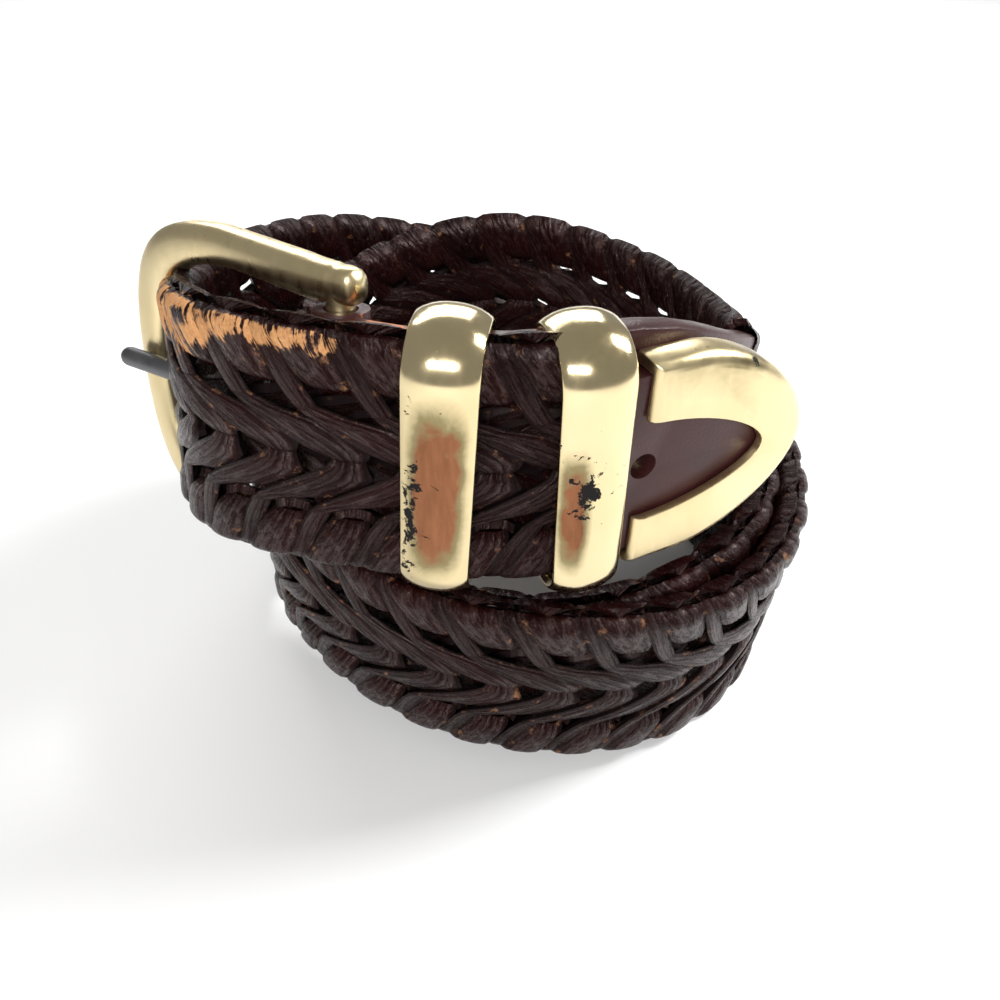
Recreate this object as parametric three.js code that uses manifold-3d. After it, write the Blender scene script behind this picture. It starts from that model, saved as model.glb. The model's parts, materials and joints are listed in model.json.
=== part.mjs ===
// A braided leather belt, fastened and rolled up in three turns, standing on its edge.
// Units are millimetres, +Z is up, and the coil's middle is the origin of x and y.
import * as THREE from 'three';
import { mergeVertices } from 'three/addons/utils/BufferGeometryUtils.js';
import Module from 'manifold-3d';

const wasm = await Module();
wasm.setup();

// Strap
const STRAP_WIDTH = 33.5;
const STRAP_THICKNESS = 4.5;
const EDGE_ROUNDING = 1.5;
const COIL_RADIUS = 50; // the outermost turn, to the middle of its thickness
const TURN_GAP = 0.5; // air between two turns that lie against each other
const TURNS_TO_FREE_END = 3; // whole turns between the tab and the free end over it
const STANDING_FLAT = 0.45; // how much of the lowest edges is pressed flat by standing
const STRAP_END_ANGLE = 1038; // where the tip's point lies, in degrees along the coil

// Smooth leather at both ends
const TAB_LENGTH = 58;
const TAB_WIDTH = 31.5;
const TAB_THICKNESS = 3.5;
const TIP_LEATHER_THICKNESS = 3;
const TIP_LEATHER_UNDER_KEEPER = 4.5;
const END_JOINT_GAP = 1.2; // between the braid and the tip's leather, under the keeper
const TIP_HOLE_DIAMETER = 3.6;
const TIP_HOLE_FROM_CAP = -0.6; // from the cap's open end to the hole's near edge

// Buckle
const BAR_DIAMETER = 3.6;
const FRAME_LENGTH = 41.6; // from the bar's middle to the outside of the crown
const FRAME_HALF_HEIGHT = 22.8; // where the frame is highest
const FRAME_RIM = 5.3; // breadth of an arm and of the crown
const FRAME_THICKNESS = 4.6;
const FRAME_ROUNDING = 1.5;
const BOSS_OVERHANG = 3.6; // how far the arms run on behind the bar
const FRAME_AZIMUTH = 144;
const FRAME_TILT = 5; // degrees that the crown hangs lower than the bar
const FRAME_LEAN = 10; // degrees that the frame's upper arm leans inwards

// Prong
const PRONG_DIAMETER = 3.2;
const PRONG_TIP_DIAMETER = 2.9;
const PRONG_SWAY = 2.5; // degrees that the prong is turned up on its bar
const PRONG_OVERHANG = -1.4; // how far its tip stands out past the crown, less than 0 when it ends on it
const PRONG_EYE_WALL = 1.3;
const PRONG_EYE_HEIGHT = 5.4;

// Keepers
const KEEPER_BREADTH = 9; // along the strap
const KEEPER_WALL = 1.4;
const KEEPER_ROUNDING = 2.4;
const KEEPER_DOME = 0.6; // how much less the face is rounded outwards than lengthwise
const KEEPER_INSIDE_ROUNDING = 1;
const KEEPER_INSIDE_DEPTH = 11.8;
const KEEPER_PLAY = 2.2; // room above and below the widest leather inside

// Tip cap
const CAP_LENGTH = 24.8;
const TIP_DROP = 1.2; // how far the tip sits below the strap's middle
const CAP_HALF_WIDTH = 14.9;
const CAP_FRONT = 3.1; // its face above the leather's middle
const CAP_BACK = 2.4; // its back below the leather's middle
const CAP_ROUNDING = 1.6;
const CAP_WINDOW_LENGTH = 18;
const CAP_WINDOW_HALF_WIDTH = 7.2;
const CAP_WALL = 1.6;

const CLEARANCE = 0.35; // air between neighbouring pieces
const STRAP_STEP = 3.9; // length of one straight stretch of the bent strap
const TAB_STEP = 3.4;
const RADIANS = Math.PI / 180;

// The strap's course, from the buckle's bar inwards and round three times to the tip.
// angle: degrees, anticlockwise from above, -90 is the front
// radius: share of COIL_RADIUS, before the layers are added
// layer: how many strap thicknesses this stretch lies outside the innermost turn
// height: of the lower edge, share of STRAP_WIDTH
// lean: degrees that the upper edge leans outwards
const COURSE = [
  { angle: -119, radius: 0.84, layer: 0, height: 1.215, lean: 0 },
  { angle: -90, radius: 0.863, layer: 0, height: 1.251, lean: 1 },
  { angle: -68, radius: 0.838, layer: 0, height: 1.236, lean: 1 },
  { angle: -45, radius: 0.788, layer: 0, height: 1.03, lean: 2 },
  { angle: -20, radius: 0.752, layer: 0, height: 0.785, lean: 1 },
  { angle: 0, radius: 0.728, layer: 0, height: 0.672, lean: 1 },
  { angle: 45, radius: 0.724, layer: 0, height: 0.642, lean: 0 },
  { angle: 90, radius: 0.766, layer: 0, height: 0.693, lean: 0 },
  { angle: 135, radius: 0.748, layer: 0, height: 0.612, lean: 0 },
  { angle: 180, radius: 0.732, layer: 0, height: 0.493, lean: 0 },
  { angle: 225, radius: 0.764, layer: 0, height: 0.224, lean: 2 },
  { angle: 250, radius: 0.754, layer: 0.6, height: 0.05, lean: 4 },
  { angle: 270, radius: 0.768, layer: 1, height: 0.02, lean: 6 },
  { angle: 315, radius: 0.822, layer: 1, height: 0.08, lean: 6 },
  { angle: 360, radius: 0.754, layer: 1, height: 0.06, lean: 6 },
  { angle: 405, radius: 0.736, layer: 1, height: 0, lean: 3 },
  { angle: 450, radius: 0.768, layer: 1, height: 0, lean: 0 },
  { angle: 495, radius: 0.76, layer: 1, height: 0.015, lean: -1 },
  { angle: 540, radius: 0.744, layer: 1, height: 0.119, lean: 0 },
  { angle: 585, radius: 0.78, layer: 1, height: 0.234, lean: 2 },
  { angle: 605, radius: 0.768, layer: 1.5, height: 0.195, lean: 4 },
  { angle: 630, radius: 0.78, layer: 2, height: 0.155, lean: 6 },
  { angle: 675, radius: 0.826, layer: 2, height: 0.006, lean: 6 },
  { angle: 720, radius: 0.762, layer: 2, height: 0, lean: 6 },
  { angle: 765, radius: 0.744, layer: 2, height: 0.045, lean: 3 },
  { angle: 810, radius: 0.772, layer: 2, height: 0.373, lean: 0 },
  { angle: 855, radius: 0.766, layer: 2, height: 0.746, lean: -5 },
  { angle: 885, radius: 0.76, layer: 2, height: 0.91, lean: -7 },
  { angle: 915, radius: 0.792, layer: 2, height: 1.045, lean: -7 },
  { angle: 930, radius: 0.832, layer: 2, height: 1.164, lean: -7 },
  { angle: 945, radius: 0.858, layer: 2, height: 1.254, lean: -6 },
  { angle: 960, radius: 0.864, layer: 1.6, height: 1.284, lean: -3 },
  { angle: 975, radius: 0.866, layer: 1.2, height: 1.284, lean: -1 },
  { angle: 990, radius: 0.862, layer: 1, height: 1.27, lean: 0 },
  { angle: 1005, radius: 0.844, layer: 1, height: 1.254, lean: 1 },
  { angle: 1038, radius: 0.9, layer: 1, height: 1.23, lean: 1 },
];
// angle: where each keeper sits, turn: degrees askew, drop: below the strap's middle
const KEEPERS = [
  { name: 'keeper_1', angle: 981, turn: -4, drop: 0.4 },
  { name: 'keeper_2', angle: 1001, turn: 0, drop: 0.9 },
];

// The coil as a curved frame

// Smooth value of one column of COURSE, with its change per degree.
function course(angle, column) {
  let i = COURSE.findIndex((row) => row.angle > angle) - 1;
  if (i < 0) {
    i = angle < COURSE[0].angle ? 0 : COURSE.length - 2;
  }
  const slopeBetween = (a, b) => (
    (COURSE[b][column] - COURSE[a][column]) / (COURSE[b].angle - COURSE[a].angle)
  );
  const slopeAt = (k) => {
    if (k === 0) return slopeBetween(0, 1);
    if (k === COURSE.length - 1) return slopeBetween(k - 1, k);
    const before = COURSE[k].angle - COURSE[k - 1].angle;
    const after = COURSE[k + 1].angle - COURSE[k].angle;
    return (slopeBetween(k, k + 1) * before + slopeBetween(k - 1, k) * after) / (before + after);
  };
  const span = COURSE[i + 1].angle - COURSE[i].angle;
  const t = (angle - COURSE[i].angle) / span;
  const a = COURSE[i][column];
  const b = COURSE[i + 1][column];
  const ma = slopeAt(i) * span;
  const mb = slopeAt(i + 1) * span;
  const value = (1 + 2 * t) * (1 - t) ** 2 * a + t * (1 - t) ** 2 * ma
    + t * t * (3 - 2 * t) * b + t * t * (t - 1) * mb;
  const change = (6 * t * t - 6 * t) * (a - b) + (1 - t) * (1 - 3 * t) * ma + t * (3 * t - 2) * mb;
  return { value, change: change / span };
}

// Middle of the strap at an angle, with the directions along it, up across it and outwards.
function coilFrame(angle) {
  const radius = course(angle, 'radius');
  const layer = course(angle, 'layer');
  const height = course(angle, 'height');
  const lean = course(angle, 'lean').value * RADIANS;
  const layerStep = STRAP_THICKNESS + TURN_GAP;
  const r = COIL_RADIUS * radius.value + layerStep * layer.value;
  const rChange = (COIL_RADIUS * radius.change + layerStep * layer.change) / RADIANS;
  const zChange = STRAP_WIDTH * height.change / RADIANS;
  const a = angle * RADIANS;
  const ray = new THREE.Vector3(Math.cos(a), Math.sin(a), 0);
  const round = new THREE.Vector3(-Math.sin(a), Math.cos(a), 0);
  const along = round.clone().multiplyScalar(r).addScaledVector(ray, rChange);
  along.z += zChange;
  const speed = along.length();
  along.normalize();
  const level = new THREE.Vector3(along.y, -along.x, 0).normalize();
  const upright = level.clone().cross(along);
  const up = upright.clone().multiplyScalar(Math.cos(lean)).addScaledVector(level, Math.sin(lean));
  const out = along.clone().cross(up);
  const middle = ray.clone().multiplyScalar(r);
  middle.z = STRAP_WIDTH * (height.value + upright.z * Math.cos(lean) / 2) - STANDING_FLAT;
  return { middle, along, up, out, speed };
}

// Distance along the strap at each angle, measured once in small steps.
const ANGLE_STEP = 0.5;
const firstAngle = COURSE[0].angle;
const travelled = [0];
for (let angle = firstAngle; angle < COURSE[COURSE.length - 1].angle; angle += ANGLE_STEP) {
  const step = coilFrame(angle + ANGLE_STEP / 2).speed * ANGLE_STEP * RADIANS;
  travelled.push(travelled[travelled.length - 1] + step);
}

function angleAt(distance) {
  let i = travelled.findIndex((value) => value > distance) - 1;
  i = i < 0 ? (distance < 0 ? 0 : travelled.length - 2) : i;
  const share = (distance - travelled[i]) / (travelled[i + 1] - travelled[i]);
  return firstAngle + (i + share) * ANGLE_STEP;
}

function distanceAt(angle) {
  const steps = (angle - firstAngle) / ANGLE_STEP;
  const i = Math.min(Math.floor(steps), travelled.length - 2);
  return travelled[i] + (travelled[i + 1] - travelled[i]) * (steps - i);
}

// Making and joining solids

function toSolid(geometry) {
  const bare = geometry.index ? geometry.toNonIndexed() : geometry.clone();
  bare.deleteAttribute('normal');
  bare.deleteAttribute('uv');
  const merged = mergeVertices(bare, 1e-4);
  return new wasm.Manifold(new wasm.Mesh({
    numProp: 3,
    vertProperties: new Float32Array(merged.attributes.position.array),
    triVerts: new Uint32Array(merged.index.array),
  }));
}

function toGeometry(solid) {
  const { vertProperties, triVerts } = solid.getMesh();
  const geometry = new THREE.BufferGeometry();
  geometry.setAttribute('position', new THREE.BufferAttribute(vertProperties, 3));
  geometry.setIndex(new THREE.BufferAttribute(triVerts, 1));
  geometry.computeVertexNormals();
  return geometry;
}

function placedSolid(geometry, matrix) {
  return toSolid(geometry.clone().applyMatrix4(matrix));
}

function frameMatrix({ middle, along, up, out }) {
  return new THREE.Matrix4().makeBasis(along, up, out).setPosition(middle);
}

// A flat bar's section, seen along it: width across x, thickness across y, corners cut round.
function barSection(width, thickness, rounding) {
  const shape = new THREE.Shape();
  const w = width / 2;
  const t = thickness / 2;
  const corner = Math.min(rounding, t - 0.2);
  shape.moveTo(w, -t + corner);
  shape.lineTo(w, t - corner);
  shape.quadraticCurveTo(w, t, w - corner, t);
  shape.lineTo(-w + corner, t);
  shape.quadraticCurveTo(-w, t, -w, t - corner);
  shape.lineTo(-w, -t + corner);
  shape.quadraticCurveTo(-w, -t, -w + corner, -t);
  shape.lineTo(w - corner, -t);
  shape.quadraticCurveTo(w, -t, w, -t + corner);
  return shape;
}

// A straight bar with the section's width upwards, laid round the coil between two distances.
function bentBar(section, from, to, stepLength) {
  const steps = Math.ceil((to - from) / stepLength);
  const bar = new THREE.ExtrudeGeometry(section, {
    depth: to - from, steps, bevelEnabled: false, curveSegments: 2,
  });
  const place = bar.attributes.position;
  const point = new THREE.Vector3();
  for (let i = 0; i < place.count; i += 1) {
    point.fromBufferAttribute(place, i);
    const { middle, up, out } = coilFrame(angleAt(from + point.z));
    middle.addScaledVector(up, point.x).addScaledVector(out, point.y);
    place.setXYZ(i, middle.x, middle.y, middle.z);
  }
  return toSolid(bar);
}

// A cylinder that stands upright on a piece's own origin.
function roundPost(radius, height) {
  return new THREE.CylinderGeometry(radius, radius, height, 24);
}

// Buckle frame, prong and tab

const barAt = coilFrame(firstAngle);
const frameAlong = new THREE.Vector3(
  Math.cos(FRAME_AZIMUTH * RADIANS) * Math.cos(FRAME_TILT * RADIANS),
  Math.sin(FRAME_AZIMUTH * RADIANS) * Math.cos(FRAME_TILT * RADIANS),
  -Math.sin(FRAME_TILT * RADIANS),
);
const frameUpright = new THREE.Vector3(0, 0, 1).addScaledVector(frameAlong, -frameAlong.z).normalize();
const frameOutLevel = frameUpright.clone().cross(frameAlong);
const frameLean = FRAME_LEAN * RADIANS;
const frameUp = frameUpright.clone().multiplyScalar(Math.cos(frameLean))
  .addScaledVector(frameOutLevel, -Math.sin(frameLean));
// The frame's own axes run from the bar to the crown, up, and in towards the coil's middle.
const buckleMatrix = new THREE.Matrix4()
  .makeBasis(frameAlong, frameUp, frameAlong.clone().cross(frameUp))
  .setPosition(barAt.middle);

// One edge of the horseshoe as points: straight at the bosses, then spreading, then round the crown.
function horseshoe(shape, start, atBar, widest, crown) {
  const wide = crown * 0.5;
  shape.moveTo(start, -atBar);
  shape.lineTo(crown * 0.08, -atBar);
  shape.lineTo(wide, -widest);
  shape.bezierCurveTo(crown * 0.86, -widest, crown, -widest * 0.8, crown, 0);
  shape.bezierCurveTo(crown, widest * 0.8, crown * 0.86, widest, wide, widest);
  shape.lineTo(crown * 0.08, atBar);
  shape.lineTo(start, atBar);
}

const armInside = TAB_WIDTH / 2 + CLEARANCE;

// The horseshoe as a flat plate with rounded edges, grown all round by an allowance.
function frameSolid(allowance) {
  const outside = new THREE.Shape();
  const round = FRAME_ROUNDING;
  const grow = allowance - round;
  horseshoe(outside, -BOSS_OVERHANG - grow, armInside + FRAME_RIM + grow,
    FRAME_HALF_HEIGHT + grow, FRAME_LENGTH + grow);
  const thickness = FRAME_THICKNESS + 2 * allowance;
  const plate = new THREE.ExtrudeGeometry(outside, {
    depth: thickness - 2 * round, bevelThickness: round, bevelSize: round, bevelSegments: 3, curveSegments: 10,
  });
  plate.translate(0, 0, round - thickness / 2);
  const opening = new THREE.Shape();
  horseshoe(opening, -FRAME_LENGTH, armInside - allowance,
    FRAME_HALF_HEIGHT - FRAME_RIM - allowance, FRAME_LENGTH - FRAME_RIM - allowance);
  const cutter = new THREE.ExtrudeGeometry(opening, {
    depth: 4 * FRAME_THICKNESS, bevelEnabled: false, curveSegments: 10,
  });
  cutter.translate(0, 0, -2 * FRAME_THICKNESS);
  return toSolid(plate).subtract(toSolid(cutter));
}

const barHeight = 2 * armInside + FRAME_RIM;
const bar = toSolid(roundPost(BAR_DIAMETER / 2, barHeight));
const buckleSolid = frameSolid(0).add(bar);

const eyeRadius = BAR_DIAMETER / 2 + CLEARANCE + PRONG_EYE_WALL;
const barHole = roundPost(BAR_DIAMETER / 2 + CLEARANCE, 3 * barHeight);
// The prong rests on the crown's outer face, so it runs outwards from the bar at a small angle.
const prongRise = (FRAME_THICKNESS + PRONG_DIAMETER) / 2 + CLEARANCE;
const prongReach = FRAME_LENGTH - FRAME_RIM / 2;
const prongAngle = Math.atan2(prongRise, prongReach);
const prongLength = (FRAME_LENGTH + PRONG_OVERHANG) / Math.cos(prongAngle);

function prongShaft(allowance) {
  const shaft = new THREE.CylinderGeometry(
    PRONG_TIP_DIAMETER / 2 + allowance, PRONG_DIAMETER / 2 + allowance, prongLength, 16,
  );
  shaft.translate(0, prongLength / 2, 0);
  shaft.rotateZ(PRONG_SWAY * RADIANS - Math.PI / 2);
  shaft.rotateY(prongAngle);
  return toSolid(shaft);
}
const prongTip = new THREE.SphereGeometry(PRONG_TIP_DIAMETER / 2, 16, 8);
prongTip.rotateZ(-Math.PI / 2);
prongTip.translate(prongLength, 0, 0);
prongTip.rotateZ(PRONG_SWAY * RADIANS);
prongTip.rotateY(prongAngle);
const prongSolid = toSolid(roundPost(eyeRadius, PRONG_EYE_HEIGHT))
  .add(prongShaft(0))
  .add(toSolid(prongTip))
  .subtract(toSolid(barHole));

function inBuckle(solid) {
  return toSolid(toGeometry(solid).applyMatrix4(buckleMatrix));
}

// The tab is folded round the bar, with a slot where the prong's eye turns.
const foldRadius = BAR_DIAMETER / 2 + TAB_THICKNESS / 2;
const slotRadius = foldRadius + 2 * CLEARANCE;
const slotHeight = PRONG_EYE_HEIGHT + 2 * CLEARANCE;
const fold = placedSolid(roundPost(foldRadius, TAB_WIDTH), buckleMatrix);
const slot = placedSolid(roundPost(slotRadius, slotHeight), buckleMatrix);
const tabSolid = bentBar(barSection(TAB_WIDTH, TAB_THICKNESS, EDGE_ROUNDING / 2), 0, TAB_LENGTH, TAB_STEP)
  .add(fold)
  .subtract(placedSolid(barHole, buckleMatrix))
  .subtract(slot);

// Tip: smooth leather in an openwork cap

const endDistance = distanceAt(STRAP_END_ANGLE);
const capStart = endDistance - CAP_LENGTH;
const tipLeatherStart = capStart - TIP_LEATHER_UNDER_KEEPER;
const tipFrom = coilFrame(angleAt(tipLeatherStart));
const tipTo = coilFrame(STRAP_END_ANGLE);
const tipAlong = tipTo.middle.clone().sub(tipFrom.middle).normalize();
const tipUp = tipTo.up.clone().addScaledVector(tipAlong, -tipTo.up.dot(tipAlong)).normalize();
const tipMatrix = new THREE.Matrix4()
  .makeBasis(tipAlong, tipUp, tipAlong.clone().cross(tipUp))
  .setPosition(tipFrom.middle.clone().addScaledVector(tipUp, -TIP_DROP));

// A pointed-arch outline: parallel sides from start to the shoulder, then curving in to
// the point.
function pointedArch(start, shoulder, point, halfWidth) {
  const bend = shoulder + (point - shoulder) * 0.5;
  const shape = new THREE.Shape();
  shape.moveTo(start, -halfWidth);
  shape.lineTo(shoulder, -halfWidth);
  shape.bezierCurveTo(bend, -halfWidth * 0.94, point, -halfWidth * 0.4, point, 0);
  shape.bezierCurveTo(point, halfWidth * 0.4, bend, halfWidth * 0.94, shoulder, halfWidth);
  shape.lineTo(start, halfWidth);
  return shape;
}

function archSolid(start, shoulder, point, halfWidth, low, high, rounding = 0) {
  const outline = pointedArch(start + rounding, shoulder, point - rounding, halfWidth - rounding);
  const geometry = new THREE.ExtrudeGeometry(outline, {
    depth: high - low - 2 * rounding,
    bevelEnabled: rounding > 0,
    bevelThickness: rounding,
    bevelSize: rounding,
    bevelSegments: 3,
    curveSegments: 14,
  });
  return toSolid(geometry.translate(0, 0, low + rounding));
}

const tipHalf = TIP_LEATHER_THICKNESS / 2;
const capFrom = TIP_LEATHER_UNDER_KEEPER;
const capPoint = capFrom + CAP_LENGTH;
const pocketHalfWidth = CAP_HALF_WIDTH - CAP_WALL;
const leatherHalfWidth = pocketHalfWidth - CLEARANCE;
const holeX = capFrom + TIP_HOLE_FROM_CAP + TIP_HOLE_DIAMETER / 2;
const tipHole = toSolid(
  new THREE.CylinderGeometry(TIP_HOLE_DIAMETER / 2, TIP_HOLE_DIAMETER / 2, 4 * TIP_LEATHER_THICKNESS, 20)
    .rotateX(Math.PI / 2).translate(holeX, 0, 0),
);
const capShoulder = capFrom + CAP_LENGTH * 0.3;
const tipLeather = archSolid(0, capShoulder, capPoint - CAP_WALL - CLEARANCE, leatherHalfWidth, -tipHalf, tipHalf)
  .subtract(tipHole);
const pocket = archSolid(-capPoint, capShoulder, capPoint - CAP_WALL, pocketHalfWidth,
  -tipHalf - CLEARANCE, tipHalf + CLEARANCE);
const windowCut = archSolid(-capPoint, capFrom + CAP_ROUNDING, capFrom + CAP_WINDOW_LENGTH,
  CAP_WINDOW_HALF_WIDTH, 0, 3 * CAP_FRONT);
const capSolid = archSolid(capFrom, capShoulder, capPoint, CAP_HALF_WIDTH, -CAP_BACK, CAP_FRONT, CAP_ROUNDING)
  .subtract(pocket)
  .subtract(windowCut);

// Keepers

// Each keeper holds the tab and the free end together, so it sits midway between them.
function keeperMatrix({ angle, turn, drop }) {
  const outer = coilFrame(angle);
  const inner = coilFrame(angle - 360 * TURNS_TO_FREE_END);
  const along = outer.along.clone().add(inner.along).setZ(0).normalize();
  const out = new THREE.Vector3(along.y, -along.x, 0);
  const middle = outer.middle.clone().add(inner.middle).multiplyScalar(0.5)
    .setZ(outer.middle.z - drop);
  return new THREE.Matrix4()
    .makeBasis(along, new THREE.Vector3(0, 0, 1), out)
    .setPosition(middle)
    .multiply(new THREE.Matrix4().makeRotationZ(turn * RADIANS));
}

const keeperInsideHeight = Math.max(STRAP_WIDTH, TAB_WIDTH) + KEEPER_PLAY;

function keeperSolid() {
  const round = KEEPER_ROUNDING;
  const grow = round - KEEPER_DOME;
  const outside = barSection(
    keeperInsideHeight + 2 * (KEEPER_WALL - grow),
    KEEPER_INSIDE_DEPTH + 2 * (KEEPER_WALL - grow),
    round,
  );
  const body = new THREE.ExtrudeGeometry(outside, {
    depth: KEEPER_BREADTH - 2 * round, bevelThickness: round, bevelSize: grow,
    bevelSegments: 4, curveSegments: 4,
  });
  body.translate(0, 0, round - KEEPER_BREADTH / 2);
  const hollow = barSection(keeperInsideHeight, KEEPER_INSIDE_DEPTH, KEEPER_INSIDE_ROUNDING);
  const inside = new THREE.ExtrudeGeometry(hollow, {
    depth: 2 * KEEPER_BREADTH, bevelEnabled: false, curveSegments: 2,
  });
  inside.translate(0, 0, -KEEPER_BREADTH);
  // The section's width stands up and its thickness points outwards.
  const turned = new THREE.Matrix4().makeBasis(
    new THREE.Vector3(0, 1, 0), new THREE.Vector3(0, 0, 1), new THREE.Vector3(1, 0, 0),
  );
  return toSolid(body.applyMatrix4(turned)).subtract(toSolid(inside.applyMatrix4(turned)));
}

// Braided strap

const floorCut = new THREE.BoxGeometry(4 * COIL_RADIUS, 4 * COIL_RADIUS, STRAP_WIDTH);
floorCut.translate(0, 0, -STRAP_WIDTH / 2);
const strapSolid = bentBar(
  barSection(STRAP_WIDTH, STRAP_THICKNESS, EDGE_ROUNDING),
  TAB_LENGTH + CLEARANCE, tipLeatherStart - END_JOINT_GAP, STRAP_STEP,
)
  .subtract(toSolid(floorCut))
  .subtract(inBuckle(prongShaft(CLEARANCE)))
  .subtract(inBuckle(frameSolid(CLEARANCE)));

// The belt

const belt = new THREE.Group();
const FINISH = {
  braid: { color: 0x2a1716, roughness: 0.42, metalness: 0 },
  smoothLeather: { color: 0x3a1f1d, roughness: 0.38, metalness: 0 },
  gold: { color: 0xcdb37a, roughness: 0.2, metalness: 1 },
  darkMetal: { color: 0x55575b, roughness: 0.35, metalness: 1 },
};

function addPiece(name, geometry, finish, matrix) {
  const mesh = new THREE.Mesh(geometry, new THREE.MeshStandardMaterial(FINISH[finish]));
  mesh.name = name;
  if (matrix) {
    mesh.applyMatrix4(matrix);
  }
  belt.add(mesh);
}

addPiece('braided_strap', toGeometry(strapSolid), 'braid');
addPiece('buckle_tab', toGeometry(tabSolid), 'smoothLeather');
addPiece('tip_tab', toGeometry(tipLeather), 'smoothLeather', tipMatrix);
addPiece('buckle_frame', toGeometry(buckleSolid), 'gold', buckleMatrix);
addPiece('prong', toGeometry(prongSolid), 'darkMetal', buckleMatrix);
for (const keeper of KEEPERS) {
  addPiece(keeper.name, toGeometry(keeperSolid()), 'gold', keeperMatrix(keeper));
}
addPiece('tip_cap', toGeometry(capSolid), 'gold', tipMatrix);

// The belt's origin is the middle of its footprint, on the surface it stands on.
const footprint = new THREE.Box3().setFromObject(belt, true);
belt.position.set(-(footprint.min.x + footprint.max.x) / 2, -(footprint.min.y + footprint.max.y) / 2, 0);
belt.updateMatrixWorld(true);

export default belt;
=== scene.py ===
# %% [markdown]
# # A braided leather belt, rolled up and standing on its edge
# The belt is fastened and wound into three turns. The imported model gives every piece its
# place; this script gives the pieces their looks. The braid is made of separate strands,
# the metal pieces are modelled again with smooth rounded surfaces, and each surface gets
# a procedural material.

# %% Load the frame
import json
import math

import bpy
import numpy as np
from mathutils import Matrix, Vector

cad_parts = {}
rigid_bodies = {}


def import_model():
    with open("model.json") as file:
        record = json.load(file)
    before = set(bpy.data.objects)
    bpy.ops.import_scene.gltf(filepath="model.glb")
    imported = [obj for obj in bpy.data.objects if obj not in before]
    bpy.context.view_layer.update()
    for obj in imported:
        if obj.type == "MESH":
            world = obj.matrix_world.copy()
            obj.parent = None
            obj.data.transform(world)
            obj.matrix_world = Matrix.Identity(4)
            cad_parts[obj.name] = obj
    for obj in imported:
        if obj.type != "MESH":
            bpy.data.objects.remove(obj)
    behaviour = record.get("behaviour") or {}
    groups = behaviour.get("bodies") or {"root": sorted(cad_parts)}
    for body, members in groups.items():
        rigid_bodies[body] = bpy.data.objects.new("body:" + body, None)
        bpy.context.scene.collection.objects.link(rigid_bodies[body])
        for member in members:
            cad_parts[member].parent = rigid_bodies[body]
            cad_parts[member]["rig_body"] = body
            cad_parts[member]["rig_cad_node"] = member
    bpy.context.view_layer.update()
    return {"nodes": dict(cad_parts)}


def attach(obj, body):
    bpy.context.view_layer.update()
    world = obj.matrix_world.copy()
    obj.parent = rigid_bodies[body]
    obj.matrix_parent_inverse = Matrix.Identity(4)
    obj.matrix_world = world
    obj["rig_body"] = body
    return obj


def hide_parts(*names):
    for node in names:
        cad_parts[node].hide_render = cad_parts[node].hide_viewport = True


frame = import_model()

# %% [markdown]
# ## The strap's course
# A braid can be laid flat with an Array and bent with a Curve modifier, but a Curve
# modifier can't hold the strap upright while it climbs and leans. So the course is a
# table, as a saddler would chalk it on the bench: for an angle round the roll, how far
# out the strap is, how high its lower edge lies and how it leans. A small function turns
# a place on the flat strap (distance along, distance across, height above its middle)
# into a place in the roll.

# %% Named sizes of the strap, in millimetres
MM = 0.001
STRAP_WIDTH = 33.5
STRAP_THICKNESS = 4.5
COIL_RADIUS = 50.0
TURN_GAP = 0.5
STANDING_FLAT = 0.45
ROLL_SHIFT = (2.324, 1.101)
TAB_LENGTH = 58.0
STRAP_END_ANGLE = 1038.0
CAP_LENGTH = 24.8
TIP_LEATHER_UNDER_KEEPER = 4.5
END_JOINT_GAP = 1.2
CLEARANCE = 0.35  # air between neighbouring pieces
LOWEST_POINT = 0.02  # soft edges stay this far above the floor

# %% The course: angle, radius share, layer, height share, lean in degrees
COURSE = np.array([
    (-119, 0.84, 0, 1.215, 0), (-90, 0.863, 0, 1.251, 1), (-68, 0.838, 0, 1.236, 1),
    (-45, 0.788, 0, 1.03, 2), (-20, 0.752, 0, 0.785, 1), (0, 0.728, 0, 0.672, 1),
    (45, 0.724, 0, 0.642, 0), (90, 0.766, 0, 0.693, 0), (135, 0.748, 0, 0.612, 0),
    (180, 0.732, 0, 0.493, 0), (225, 0.764, 0, 0.224, 2), (250, 0.754, 0.6, 0.05, 4),
    (270, 0.768, 1, 0.02, 6), (315, 0.822, 1, 0.08, 6), (360, 0.754, 1, 0.06, 6),
    (405, 0.736, 1, 0, 3), (450, 0.768, 1, 0, 0), (495, 0.76, 1, 0.015, -1),
    (540, 0.744, 1, 0.119, 0), (585, 0.78, 1, 0.234, 2), (605, 0.768, 1.5, 0.195, 4),
    (630, 0.78, 2, 0.155, 6), (675, 0.826, 2, 0.006, 6), (720, 0.762, 2, 0, 6),
    (765, 0.744, 2, 0.045, 3), (810, 0.772, 2, 0.373, 0), (855, 0.766, 2, 0.746, -5),
    (885, 0.76, 2, 0.91, -7), (915, 0.792, 2, 1.045, -7), (930, 0.832, 2, 1.164, -7),
    (945, 0.858, 2, 1.254, -6), (960, 0.864, 1.6, 1.284, -3), (975, 0.866, 1.2, 1.284, -1),
    (990, 0.862, 1, 1.27, 0), (1005, 0.844, 1, 1.254, 1), (1038, 0.9, 1, 1.23, 1),
])


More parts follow.
